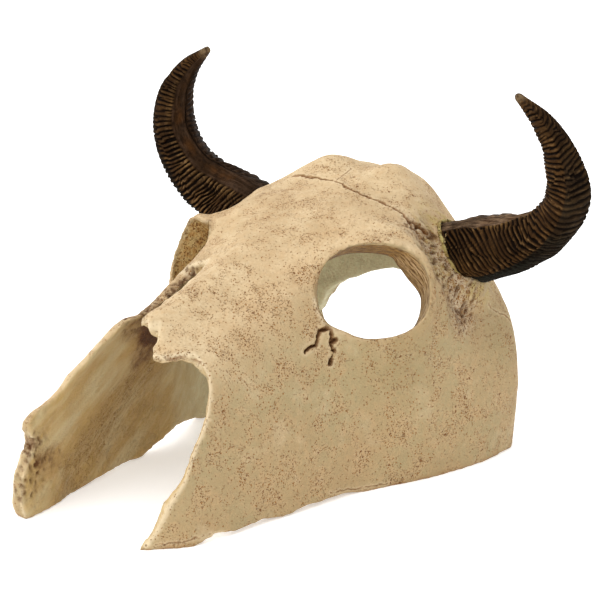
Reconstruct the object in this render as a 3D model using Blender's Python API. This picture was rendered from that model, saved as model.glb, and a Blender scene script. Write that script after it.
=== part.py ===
"""Bull skull ornament: a hollow cast skull and its two cast horns.

The snout points along -Y, the animal's left side is +X and the bottom edge lies on Z = 0.
All sizes below are millimetres, with Y = 0 a little in front of the eyes. The meshes are made
in metres, with the origin below the middle of the whole ornament.
"""

import math

import bmesh
import bpy
from mathutils import Vector

MM = 0.001
MIDDLE = Vector((0, 4, 0))        # the middle of the whole ornament's footprint

# Planes that lie clear of the skull, where the cutting bodies end.
ABOVE = 120
BELOW = -6
BESIDE = 80
AHEAD = -112
BEHIND = 100

# The skull's outer form, as lines that run from the snout to the back of the head.
# Each line is a row of (distance along Y, size).
FLOOR_X = ((-92, 33), (-75, 35.5), (-53, 39.8), (-36, 41), (-20, 43.5), (-6, 45), (4, 46),
           (12, 48), (20, 51), (28, 54), (36, 57), (50, 60), (66, 62.5), (82, 62))
WALL_X = ((-92, 32), (-75, 34), (-53, 36.5), (-36, 38.8), (-20, 41.2), (-6, 43), (4, 44.8),
          (12, 47.6), (20, 51.8), (28, 55.8), (36, 59), (50, 61.5), (66, 63.6), (82, 63.4))
CHEEK_X = ((-92, 27.5), (-75, 29), (-53, 30.5), (-36, 32), (-20, 33.5), (-6, 35), (4, 37.5),
           (12, 43.5), (20, 52.5), (28, 58.8), (36, 60.5), (50, 59.5), (66, 57.5), (82, 56.5))
CHEEK_Z = ((-92, 38), (-75, 42), (-53, 47), (-36, 50), (-20, 53), (-6, 56), (4, 58),
           (12, 57), (20, 57.5), (28, 60), (36, 61), (50, 60), (66, 58), (82, 57))
BROW_X = ((-92, 17), (-75, 19), (-53, 21.5), (-36, 23.5), (-20, 25.5), (-6, 27), (4, 28),
          (12, 29.5), (20, 35), (28, 43), (34, 50), (42, 47), (52, 42.5), (62, 39.5), (72, 36.5), (82, 33))
BROW_Z = ((-92, 46), (-75, 51), (-53, 58.5), (-36, 63), (-20, 68), (-6, 72.5), (4, 76),
          (12, 80), (20, 85), (28, 88), (34, 87), (42, 88), (52, 89.5), (62, 90), (72, 88.5), (82, 85))
ROOF_Z = ((-92, 50), (-75, 56.5), (-53, 64), (-36, 68.4), (-20, 73.2), (-4, 79.4),
          (10, 86), (25, 91.5), (38, 95), (52, 97), (66, 99.5), (82, 98))
RIDGE_Z = ((-92, 54), (-75, 61.5), (-53, 70), (-36, 74.5), (-20, 79), (-4, 84),
           (10, 89), (25, 93.5), (38, 97), (52, 99.5), (66, 103), (82, 102.5))
ROOF_SHARE = 0.52        # the roof line runs at this share of the brow's half width
WALL_SHARE = 0.48        # the wall line runs at this share of the cheek's height

# The two swellings of the crown, between the horns.
CROWN_Y = 73
CROWN_X = 17
CROWN_RISE = {1: 4.2, -1: 5.4}    # on the left and on the right
CROWN_SPREAD = 12

SNOUT_Y = -92            # front end of the cast block before the nose is broken out
HOLLOW_AHEAD = 6         # the hollow runs past the front end by this much
BACK_BEND_Y = 82         # the back wall starts to round off here
BACK_RADIUS = 11.5
STATION_STEP = 4.5
HALF_POINTS = 17         # points from the floor to the ridge on one side
BACK_STEPS = 6
BACK_SHARES = (0.87, 0.74, 0.62)  # the back wall swells out over these shares of its outline
BACK_DOME = 2.0

# Thickness of the cast wall along Y, at the two floor edges and along the ridge.
LEFT_WALL = ((-92, 3.2), (-60, 3.2), (-36, 4.6), (80, 4.8))
ROOF_WALL = ((-92, 2.5), (-54, 2.5), (-25, 4.4), (80, 4.8))
RIGHT_WALL = ((-92, 6.4), (-70, 5.6), (-40, 4.6), (80, 4.8))

# The tip of the left wall curls in towards the middle.
CURL_FROM_Y = -66
CURL_LENGTH = 15
CURL_SIZE = 9
CURL_HEIGHT = 30

# Shallow hollows of the bottom edge, between the flats that the skull stands on,
# as (side, middle along Y, half length, height): left side 1, right side -1.
FLOOR_HOLLOWS = ((1, -48, 20, 2.8), (1, -6, 17, 1.6), (-1, -30, 21, 1.4),
                 (-1, 12, 26, 5.0))
HOLLOW_POINTS = 8
HOLLOW_INNER_X = 10

# Broken edges of the nose as seen from the side, in (y, z), down to the floor.
LEFT_BREAK = ((-51, 59), (-49.5, 55), (-53, 48), (-57, 41), (-60.5, 36.5), (-67, 28),
              (-74.5, 17), (-79, 8), (-83.3, 0))
RIGHT_BREAK = ((-4, 73), (-13, 69), (-20, 64.8), (-28, 62.6), (-43, 56.4), (-64, 44.2),
               (-84.5, 33.4), (-79.5, 25.5), (-86.5, 15), (-87.5, 5), (-85, 0))
# Front edge of the nasal bones seen from above, in (x, y), from the right side to the left.
NASAL_EDGE = ((-13, -4), (-10, -14), (-8, -25), (-4, -40), (-1.5, -52), (1, -53), (4, -49.5),
              (7.5, -57), (11, -61.5), (15, -60.5), (21.9, -51))
TIP = 4                  # index of the nasal tip in that row
TIP_OVERLAP = 5
NASAL_UNDERSIDE_Z = 38

# The eye opening of the left side, mirrored for the right one.
EYE_CENTRE = (44.4, 20.6, 73)
EYE_NORMAL = (0.571, -0.731, 0.375)
EYE_BORE = (0.725, -0.469, 0.504)
EYE_LENGTH = 20.5        # half length of the opening
EYE_HEIGHT = 17.2        # half height of the opening
EYE_ROUND = 2.35         # superellipse exponent
EYE_FRONT_ROUND = 1.95    # exponent of the flatter upper front quarter
EYE_POINTS = 32
# Rings of the rolled rim and of the hole, as (place along the bore, growth of the outline).
EYE_RIM = ((-12, 2.4), (-10, 3.6), (-3, 3.6), (-1, 2.6), (0.2, 1.2))
EYE_HOLE = ((-30, -0.8), (-1.5, 0), (2, 1.6), (20, 4))

# Doorway at the back, an arch.
ARCH_HALF_WIDTH = 43.5
ARCH_HEIGHT = 59
ARCH_POINTS = 24

# The left horn's middle line with its half height and half depth, mirrored for the right horn.
HORN_LINE = ((47, 69, 78), (60, 69.5, 81.3), (74.5, 69.5, 86.3), (86.4, 69, 94.6), (93.2, 68, 107.3),
             (92, 67, 121), (84.8, 66.5, 132), (73, 66, 141))
HORN_HEIGHT = (12.0, 11.8, 10.8, 9.4, 8.8, 7.0, 4.4, 0.8)
HORN_DEPTH = (10.5, 9.8, 8.4, 7.2, 6.4, 5.2, 3.6, 0.8)
HORN_TWIST = math.radians(-20)   # the section's upper end leans forward by this angle
HORN_SQUARE = 2.6        # superellipse exponent of the horn's section
HORN_POINTS = 18
HORN_STEPS = 4           # rings for each length of the middle line
SKIPPED_LENGTH = 1       # shortest distance between a horn's base and its next ring
# Rings of a horn's seat, as (place along the horn, growth over the horn's section).
HORN_SEAT = ((-8, 4.0), (0, 1.8), (2.6, 1.0), (3.6, 0))
GAP = 0.3                # between a horn and its seat


def along(line, y):
    """The smooth value at y of a line of sizes."""
    last = len(line) - 1
    if y <= line[0][0]:
        return line[0][1]
    if y >= line[last][0]:
        return line[last][1]
    index = max(i for i in range(last) if line[i][0] <= y)
    (y0, v0), (y1, v1) = line[index], line[index + 1]
    before = line[max(index - 1, 0)]
    after = line[min(index + 2, last)]
    slope0 = (v1 - before[1]) / (y1 - before[0])
    slope1 = (after[1] - v0) / (after[0] - y0)
    span = y1 - y0
    t = (y - y0) / span
    return ((2 * t**3 - 3 * t**2 + 1) * v0 + (t**3 - 2 * t**2 + t) * span * slope0
            + (3 * t**2 - 2 * t**3) * v1 + (t**3 - t**2) * span * slope1)


def spline(points, t):
    """A smooth curve through all the points, with t from 0 to 1."""
    spans = len(points) - 1
    index = min(int(t * spans), spans - 1)
    t = t * spans - index
    p1, p2 = points[index], points[index + 1]
    p0 = points[index - 1] if index > 0 else p1 * 2 - p2
    p3 = points[index + 2] if index + 2 <= spans else p2 * 2 - p1
    return (p1 * 2 + (p2 - p0) * t + (p0 * 2 - p1 * 5 + p2 * 4 - p3) * t**2
            + (p1 * 3 - p0 - p2 * 3 + p3) * t**3) / 2


def crown_rise(x, y, side):
    """Height that the crown's swellings add at a place on the roof."""
    across = (x / CROWN_X) ** 2 * math.exp(1 - (x / CROWN_X) ** 2)
    lengthwise = math.exp(-(((y - CROWN_Y) / CROWN_SPREAD) ** 2))
    return CROWN_RISE[side] * across * lengthwise


def half_section(y, side):
    """One side's outer wall at y, from the floor up to the ridge, as (x, z) points."""
    brow_x, brow_z = along(BROW_X, y), along(BROW_Z, y)
    cheek_z = along(CHEEK_Z, y)
    knots = [
        Vector((along(FLOOR_X, y), 0)),
        Vector((along(WALL_X, y), cheek_z * WALL_SHARE)),
        Vector((along(CHEEK_X, y), cheek_z)),
        Vector((brow_x, brow_z)),
        Vector((brow_x * ROOF_SHARE, along(ROOF_Z, y))),
        Vector((0, along(RIDGE_Z, y))),
        Vector((-brow_x * ROOF_SHARE, along(ROOF_Z, y))),
    ]
    share = (len(knots) - 2) / (len(knots) - 1)
    points = [spline(knots, share * i / (HALF_POINTS - 1)) for i in range(HALF_POINTS)]
    for point in points:
        point.y += crown_rise(point.x, y, side)
        if side > 0 and y < CURL_FROM_Y:
            curl = min((CURL_FROM_Y - y) / CURL_LENGTH, 1) ** 2
            point.x -= CURL_SIZE * curl * max(0, 1 - point.y / CURL_HEIGHT)
    return points


def arch(y, inset, foot_z):
    """The section at y, from the left floor edge over the ridge to the right one.

    inset gives how far the wall is moved in at the left floor edge, the ridge and the right one.
    """
    left = [Vector((p.x, p.y)) for p in half_section(y, 1)]
    right = [Vector((-p.x, p.y)) for p in half_section(y, -1)]
    line = left + right[-2::-1]
    last = len(line) - 1
    moved = []
    for i, point in enumerate(line):
        run = line[min(i + 1, last)] - line[max(i - 1, 0)]
        normal = Vector((-run.y, run.x)).normalized()
        share = 2 * i / last
        foot = inset[0] if share < 1 else inset[2]
        moved.append(point + normal * (inset[1] + (foot - inset[1]) * abs(share - 1)))
    moved[0].y = moved[last].y = foot_z
    return [(p.x, y, p.y) for p in moved]


def loft(name, rings):
    """A closed body through rings of equal length, capped at both ends."""
    bm = bmesh.new()
    loops = [[bm.verts.new((Vector(point) - MIDDLE) * MM) for point in ring] for ring in rings]
    for first, second in zip(loops, loops[1:]):
        for i in range(len(first)):
            bm.faces.new((first[i - 1], first[i], second[i], second[i - 1]))
    bm.faces.new(loops[0])
    bm.faces.new(loops[-1])
    bmesh.ops.recalc_face_normals(bm, faces=bm.faces)
    mesh = bpy.data.meshes.new(name)
    bm.to_mesh(mesh)
    bm.free()
    body = bpy.data.objects.new(name, mesh)
    bpy.context.collection.objects.link(body)
    return body


def combine(body, tool, operation):
    """Join the tool to the body, or cut it away, and hide it."""
    boolean = body.modifiers.new(tool.name, "BOOLEAN")
    boolean.object = tool
    boolean.operation = operation
    boolean.solver = "EXACT"
    tool.hide_render = True
    tool.display_type = "WIRE"


def block(name, depth, front_y, foot_z):
    """The skull as a solid block, moved in by a depth on every side but the floor."""
    rings = []
    stations = math.ceil((BACK_BEND_Y - front_y) / STATION_STEP)
    for i in range(stations + 1):
        y = front_y + (BACK_BEND_Y - front_y) * i / stations
        inset = [depth * along(line, y) for line in (LEFT_WALL, ROOF_WALL, RIGHT_WALL)]
        rings.append(arch(y, inset, foot_z))
    wall = depth * along(LEFT_WALL, BACK_BEND_Y)
    radius = BACK_RADIUS - wall
    for i in range(1, BACK_STEPS + 1):
        angle = math.pi / 2 * i / BACK_STEPS
        inset = wall + radius * (1 - math.cos(angle))
        ring = arch(BACK_BEND_Y, [inset] * 3, foot_z)
        rings.append([(x, BACK_BEND_Y + radius * math.sin(angle), z) for x, _, z in ring])
    edge = rings[-1]
    for share in BACK_SHARES:
        rise = BACK_DOME * math.sin(math.pi / 2 * (1 - share) / (1 - BACK_SHARES[-1]))
        rings.append([(x * share, y + rise, z if z <= 0 else z * share) for x, y, z in edge])
    return loft(name, rings)


def eye_frame(side):
    """Centre, long axis, short axis and bore direction of an eye opening."""
    flip = Vector((side, 1, 1))
    centre = Vector(EYE_CENTRE) * flip
    normal = (Vector(EYE_NORMAL) * flip).normalized()
    bore = (Vector(EYE_BORE) * flip).normalized()
    length = Vector((0, 0, 1)).cross(normal).normalized() * side
    height = normal.cross(length) * side
    return centre, length, height, bore


def eye_ring(side, grow, out):
    """The eye opening's outline, made larger by grow and moved out along the bore."""
    centre, length, height, bore = eye_frame(side)
    ring = []
    for i in range(EYE_POINTS):
        angle = 2 * math.pi * i / EYE_POINTS
        c, s = math.cos(angle), math.sin(angle)
        power = 2 / (EYE_FRONT_ROUND if c < 0 < s else EYE_ROUND)
        u = (EYE_LENGTH + grow) * math.copysign(abs(c) ** power, c)
        v = (EYE_HEIGHT + grow) * math.copysign(abs(s) ** power, s)
        ring.append(centre + length * u + height * v + bore * out)
    return ring


def eye_rim(name, side):
    """The rolled rim and short socket round an eye opening."""
    return loft(name, [eye_ring(side, grow, out) for out, grow in EYE_RIM])


def eye_cutter(name, side):
    """What is cut out for an eye opening."""
    return loft(name, [eye_ring(side, grow, out) for out, grow in EYE_HOLE])


def right_nasal_edge(y, z):
    """How far out the right break reaches in at y: to the nasal bones' broken edge."""
    return along([(row[1], row[0]) for row in NASAL_EDGE[TIP::-1]], y)


def left_nasal_edge(y, z):
    """How far in the left break reaches: to the nasal bones, and further below them."""
    return NASAL_EDGE[-1][0] if z > NASAL_UNDERSIDE_Z else 0


def side_cutter(name, outline, inner_x, side):
    """What is cut away in front of a broken edge seen from the side."""
    points = list(outline)
    points += [(outline[-1][0], BELOW), (AHEAD, BELOW), (AHEAD, ABOVE), (outline[0][0], ABOVE)]
    inner = [(inner_x(y, z), y, z) for y, z in points]
    outer = [(side * BESIDE, y, z) for y, z in points]
    return loft(name, [inner, outer])


def nasal_cutter(name):
    """What is cut away in front of the nasal bones."""
    tip_x, tip_y = NASAL_EDGE[TIP]
    beyond_x = tip_x - TIP_OVERLAP
    points = list(NASAL_EDGE[TIP:])
    points += [(NASAL_EDGE[-1][0], AHEAD), (beyond_x, AHEAD), (beyond_x, tip_y - 2)]
    return loft(name, [[(x, y, z) for x, y in points] for z in (NASAL_UNDERSIDE_Z, ABOVE)])


def hollow_cutter(name, side, middle, half_length, height):
    """A shallow hollow of the bottom edge."""
    points = [(middle + half_length, BELOW), (middle - half_length, BELOW)]
    for i in range(HOLLOW_POINTS + 1):
        share = 2 * i / HOLLOW_POINTS - 1
        points.append((middle + half_length * share, height * (1 - share**2)))
    return loft(name, [[(side * x, y, z) for y, z in points] for x in (HOLLOW_INNER_X, BESIDE)])


def arch_cutter(name):
    """The doorway at the back."""
    ring = []
    for i in range(ARCH_POINTS + 1):
        angle = math.pi * i / ARCH_POINTS
        ring.append((ARCH_HALF_WIDTH * math.cos(angle), ARCH_HEIGHT * math.sin(angle)))
    ring[0] = (ARCH_HALF_WIDTH, BELOW)
    ring[-1] = (-ARCH_HALF_WIDTH, BELOW)
    return loft(name, [[(x, y, z) for x, z in ring] for y in (BACK_BEND_Y, BEHIND)])


def horn_frame(side, t):
    """Middle point, direction, upward and forward axes of a horn at t from 0 to 1."""
    flip = Vector((side, 1, 1))
    line = [Vector(point) * flip for point in HORN_LINE]
    middle = spline(line, t)
    small = 0.01
    run = (spline(line, min(t + small, 1)) - spline(line, max(t - small, 0))).normalized()
    depth = Vector((0, 1, 0))
    depth = (depth - run * depth.dot(run)).normalized()
    height = run.cross(depth).normalized() * -side
    c, s = math.cos(HORN_TWIST), math.sin(HORN_TWIST)
    return middle, run, height * c + depth * s, depth * c - height * s


def horn_ring(middle, height, depth, half_height, half_depth):
    """A section of a horn, a rounded square."""
    ring = []
    for i in range(HORN_POINTS):
        angle = 2 * math.pi * (i + 0.5) / HORN_POINTS
        c, s = math.cos(angle), math.sin(angle)
        power = 2 / HORN_SQUARE
        u = half_height * math.copysign(abs(s) ** power, s)
        v = half_depth * math.copysign(abs(c) ** power, c)
        ring.append(middle + height * u + depth * v)
    return ring


def horn(name, side):
    """A cast horn from its flat base to its blunt tip."""
    rings = []
    spans = len(HORN_LINE) - 1
    heights = list(enumerate(HORN_HEIGHT))
    depths = list(enumerate(HORN_DEPTH))
    base, axis, _, _ = horn_frame(side, 0)
    start = HORN_SEAT[-1][0] + GAP
    for i in range(spans * HORN_STEPS + 1):
        t = i / (spans * HORN_STEPS)
        middle, _, height, depth = horn_frame(side, t)
        if i == 0:
            middle = base + axis * start
        elif (middle - base).dot(axis) < start + SKIPPED_LENGTH:
            continue
        place = t * spans
        rings.append(horn_ring(middle, height, depth, along(heights, place), along(depths, place)))
    return loft(name, rings)


def horn_seat(name, side):
    """The stub of bone that a horn is glued to."""
    base, axis, height, depth = horn_frame(side, 0)
    rings = []
    for out, grow in HORN_SEAT:
        middle = base + axis * out
        rings.append(horn_ring(middle, height, depth, HORN_HEIGHT[0] + grow, HORN_DEPTH[0] + grow))
    return loft(name, rings)


def material(name, colour, roughness):
    """A plain painted resin."""
    paint = bpy.data.materials.new(name)
    paint.use_nodes = True
    shader = paint.node_tree.nodes["Principled BSDF"]
    shader.inputs["Base Color"].default_value = colour
    shader.inputs["Roughness"].default_value = roughness
    shader.inputs["Metallic"].default_value = 0.0
    return paint


def skull():
    """The hollow skull with its openings."""
    shell = block("skull_shell", 0, SNOUT_Y, 0)
    hollow = block("hollow", 1, SNOUT_Y - HOLLOW_AHEAD, BELOW)
    combine(shell, hollow, "DIFFERENCE")
    for side, word in ((1, "left"), (-1, "right")):
        combine(shell, eye_rim("eye_rim_" + word, side), "UNION")
        combine(shell, horn_seat("horn_seat_" + word, side), "UNION")
    for side, word in ((1, "left"), (-1, "right")):
        combine(shell, eye_cutter("eye_cutter_" + word, side), "DIFFERENCE")
    combine(shell, arch_cutter("arch_cutter"), "DIFFERENCE")
    for i, sizes in enumerate(FLOOR_HOLLOWS):
        combine(shell, hollow_cutter("floor_hollow_%d" % i, *sizes), "DIFFERENCE")
    combine(shell, nasal_cutter("nasal_cutter"), "DIFFERENCE")
    left_break = side_cutter("left_break", LEFT_BREAK, left_nasal_edge, 1)
    right_break = side_cutter("right_break", RIGHT_BREAK, right_nasal_edge, -1)
    combine(shell, left_break, "DIFFERENCE")
    combine(shell, right_break, "DIFFERENCE")
    weld = shell.modifiers.new("Weld", "WELD")
    weld.merge_threshold = 0.00002
    return shell


for old in list(bpy.data.objects):
    bpy.data.objects.remove(old, do_unlink=True)

bone = material("bone_resin", (0.72, 0.56, 0.36, 1), 0.6)
horn_paint = material("horn_resin", (0.06, 0.035, 0.02, 1), 0.5)
skull().data.materials.append(bone)
horn("horn_left", 1).data.materials.append(horn_paint)
horn("horn_right", -1).data.materials.append(horn_paint)
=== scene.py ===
"""Bull skull ornament: a hollow cast and painted skull with two glued-on horns, on a pale studio floor.

Lengths in the sections are millimetres unless a name or comment says metres.
"""

import itertools
import math

import bmesh
import bpy
import numpy as np
from mathutils import Matrix, Vector
from mathutils.bvhtree import BVHTree
from mathutils.kdtree import KDTree


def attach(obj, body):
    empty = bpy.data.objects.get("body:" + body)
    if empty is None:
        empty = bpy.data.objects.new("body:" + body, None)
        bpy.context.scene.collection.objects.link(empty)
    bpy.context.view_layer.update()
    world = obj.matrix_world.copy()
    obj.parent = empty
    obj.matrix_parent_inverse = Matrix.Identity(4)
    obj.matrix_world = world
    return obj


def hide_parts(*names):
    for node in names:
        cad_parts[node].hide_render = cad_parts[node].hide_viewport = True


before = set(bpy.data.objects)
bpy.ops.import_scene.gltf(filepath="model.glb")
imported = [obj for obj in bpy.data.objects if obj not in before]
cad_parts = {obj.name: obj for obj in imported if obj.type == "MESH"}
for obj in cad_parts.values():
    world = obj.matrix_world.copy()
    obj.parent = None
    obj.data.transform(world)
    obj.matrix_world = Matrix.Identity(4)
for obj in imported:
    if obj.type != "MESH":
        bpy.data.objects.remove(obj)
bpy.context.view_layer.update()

MM = 0.001

# ------------------------------
# The studio: a plain pale table, faintly lit from below, a pale surround and one wide soft lamp.
# The camera looks down at the snout's left side with a long lens.
# ------------------------------

VIEW_TARGET = (26.9, -4.0, 71.1)
VIEW_AZIMUTH = math.radians(39.2)
VIEW_ELEVATION = math.radians(15.6)
VIEW_DISTANCE = 892.86
VIEW_LENS = 150
VIEW_SENSOR = 36
VIEW_CLIP = (0.05, 50)  # metres
FLOOR_HALF_WIDTH = 8.0  # metres
FLOOR_COLOUR = (0.93, 0.93, 0.93, 1)
FLOOR_ROUGHNESS = 0.9
FLOOR_GLOW = 0.36
WHITE = (1, 1, 1, 1)
SURROUND_STRENGTH = 0.98
LAMP_STRENGTH = 2.2
LAMP_SPREAD = math.radians(110)
LAMP_FROM = (-0.5, -0.55, 0.8)


def placed(name, data):
    """A new object in the scene."""
    made = bpy.data.objects.new(name, data)
    bpy.context.collection.objects.link(made)
    return made


def mesh_of(bm, name):
    """A new mesh from a bmesh, which is then freed."""
    mesh = bpy.data.meshes.new(name)
    bm.to_mesh(mesh)
    bm.free()
    return mesh


def feed(node, settings):
    """Fill a node's inputs, each with a fixed value or with what comes out of another node."""
    for name, value in settings.items():
        if isinstance(value, bpy.types.NodeSocket):
            node.id_data.links.new(value, node.inputs[name])
        else:
            node.inputs[name].default_value = value


def new_paint(name):
    """A new material, its node tree and its shader."""
    made = bpy.data.materials.new(name)
    made.use_nodes = True
    return made, made.node_tree, made.node_tree.nodes["Principled BSDF"]


camera = placed("camera", bpy.data.cameras.new("camera"))
camera.data.lens = VIEW_LENS
camera.data.sensor_width = VIEW_SENSOR
camera.data.clip_start, camera.data.clip_end = VIEW_CLIP
towards_camera = Vector((
    math.sin(VIEW_AZIMUTH) * math.cos(VIEW_ELEVATION),
    -math.cos(VIEW_AZIMUTH) * math.cos(VIEW_ELEVATION),
    math.sin(VIEW_ELEVATION),
))
camera.location = (Vector(VIEW_TARGET) + towards_camera * VIEW_DISTANCE) * MM
camera.rotation_euler = towards_camera.to_track_quat("Z", "Y").to_euler()
bpy.context.scene.camera = camera

lamp = placed("soft_lamp", bpy.data.lights.new("soft_lamp", "SUN"))
lamp.data.energy = LAMP_STRENGTH
lamp.data.angle = LAMP_SPREAD
lamp.rotation_euler = Vector(LAMP_FROM).to_track_quat("Z", "Y").to_euler()

surround = bpy.data.worlds.new("surround")
surround.use_nodes = True
feed(surround.node_tree.nodes["Background"], {"Color": WHITE, "Strength": SURROUND_STRENGTH})
bpy.context.scene.world = surround
bpy.context.scene.view_settings.view_transform = "Standard"

bm = bmesh.new()
bmesh.ops.create_grid(bm, x_segments=1, y_segments=1, size=FLOOR_HALF_WIDTH)
floor = placed("floor", mesh_of(bm, "floor"))
floor_paint, tree, shader = new_paint("pale_floor")
feed(shader, {
    "Base Color": FLOOR_COLOUR,
    "Roughness": FLOOR_ROUGHNESS,
    "Emission Color": WHITE,
    "Emission Strength": FLOOR_GLOW,
})
floor.data.materials.append(floor_paint)

# ------------------------------
# The skull: one hollow casting in filled resin, smooth inside, with pores, cracks and broken
# edges cast into the outside. It is painted cream and tan, and washed with thin brown.
# ------------------------------

VOXEL = 0.82
MAX_TRIANGLES = 194000
SHARP_ANGLE = math.radians(48)
EYE_CENTRE = Vector((44.4, 16.6, 73.0))
EYE_NORMAL = Vector((0.571, -0.731, 0.375)).normalized()
EYE_BORE = Vector((0.725, -0.469, 0.504)).normalized()
EYE_HALF = (20.5, 17.2)
EYE_SQUARE = 2.3
HORN_BASE = Vector((47.0, 65.0, 78.0))
SEAT_REACH = 21.0
SEAT_FROM = 34
# The middle line of the hollow inside: from where to where along the skull, and its height.
HOLLOW_ENDS = (-70, 45)
HOLLOW_HEIGHT = 34.0

# The lines of the cracks on the surface.
SUTURE = ((-22, 53, 98.5), (-19.1, 52.3, 99.2), (-13, 51.6, 100), (-8.1, 51.6, 100.3), (-1.7, 52, 100.6),
          (4, 50.2, 100), (9.2, 48.5, 99.3), (14.3, 47.4, 98.6), (18.2, 47.2, 97.8), (22.1, 47.6, 97.2),
          (26.1, 47.3, 96.3), (29.3, 47.4, 95.7), (32.8, 46.8, 94.8), (37.4, 45.9, 93), (41.3, 45, 91.2),
          (42.3, 47, 89.6))
SUTURE_BRANCH = ((-1.3, 52.1, 100.6), (-1.5, 55.3, 101.6), (-1.6, 58.6, 102.5), (-2.2, 62.4, 103.4))
EYE_CRACK = ((37.2, 1.2, 62.5), (36.3, 0, 61.5), (35.3, -2.7, 61), (35.4, -4.9, 58.7), (35.9, -6.1, 56.2),
             (35.4, -8.2, 56.2), (35.1, -11.2, 54.9))
EYE_CRACK_LOW = ((37.2, 1.6, 62), (36.9, 1, 61), (38, 0.8, 57.9), (38.8, 1.8, 57.1), (38, -0.3, 56.3),
                 (38.7, -0.6, 53.9), (39.1, 0, 53.3), (39.2, -1.3, 51), (39.3, -2.4, 49))
REAR_CRACK = ((55.9, 69.6, 59.1), (56.8, 72.9, 56.6), (57.6, 75.2, 54.7), (58.2, 77.8, 53.5),
              (58.4, 82.2, 49.8))
FRONT_CREASE = ((26.1, -86, 1.7), (29.2, -82.3, 1.8), (33.3, -77.7, 2.3), (36.8, -70.2, 3), (38, -64.9, 2.8))
SUTURE_END = ((38.5, 47.3, 91.3), (40.4, 49.5, 89.6), (41.4, 50.6, 88.2))
REAR_CREASE = ((44.9, -9.1, 3.9), (45.8, -1.5, 2.7), (47.9, 7.6, 1.6), (51.3, 16.8, 1.4))
LIP_CREASE = ((14, -61.5, 60.2), (18.6, -56.5, 60.6), (22.6, -53.3, 58.8))
# The cracks as (half width, depth, line).
CRACKS = ((0.45, 0.5, LIP_CREASE), (0.75, 0.7, SUTURE), (1.4, 1.6, SUTURE_END), (0.4, 0.25, SUTURE_BRANCH),
          (1.05, 1.8, EYE_CRACK), (0.95, 1.7, EYE_CRACK_LOW), (0.4, 0.4, REAR_CRACK),
          (0.35, 0.25, FRONT_CREASE), (0.35, 0.25, REAR_CREASE))
# The rolled rim over the eye and the hollow behind it, which are mirrored on the far side.
BRIM = ((21.9, 19.3, 90.8), (30.1, 31.7, 94.2), (40.6, 34.4, 92.0), (48, 35.3, 88.4), (53, 34, 84.5),
        (55.8, 36.4, 79.2), (56.3, 40.2, 72.7), (57.8, 41, 67), (59.5, 39.9, 61.7), (60.5, 38, 55))
VALLEY = ((42.2, 46.3, 89.9), (45, 46.9, 87), (48.6, 46.8, 82.9), (51.5, 47.3, 76.7), (54, 48.8, 70.7),
          (56.6, 50, 64.8), (58.4, 52, 59.1))
# Both as (half width, height, points).
FOLDS = ((1.9, 0.8, BRIM), (4.2, -1.8, VALLEY))
# The worn top of the far side and the broken end of its prong.
FAR_TOP = ((-27, -36, 60), (-25, -24, 64), (-20, -8, 71))
FAR_END = ((-29.5, -84, 25), (-29, -82, 19), (-29, -87, 10))
# Dark brown stains, which inside the far side below the nose's edge are partly painted shade, as (place,
# reach, strength).
STAINS_AND_SHADE = (
    ((-27.5, -23, 55), 12, 1.0),
    ((-31.5, -15, 49), 7, 1.0),
    ((-30, -22, 51), 7, 1.0),
    ((-27, -35, 57), 10, 0.4),
    ((-31, -24, 46), 12, 0.5),
    ((-29.5, -84.5, 25), 3.5, 0.6),
    ((-29, -81, 18.5), 5.0, 0.45),
    ((-30.5, -75, 17), 11, 0.3),
    ((43, 51, 89), 4, 0.7),
)
# Painted shade: where the tan of the outside is painted darker, below and behind the eyes and towards the
# rear.
PAINTED_SHADE_PLACES = (
    ((56, 20, 48), 26, 0.55),
    ((60, 72, 48), 24, 0.5),
    ((59, 45, 60), 12, 0.3),
    ((-58, 30, 72), 14, 0.5),
)
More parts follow.
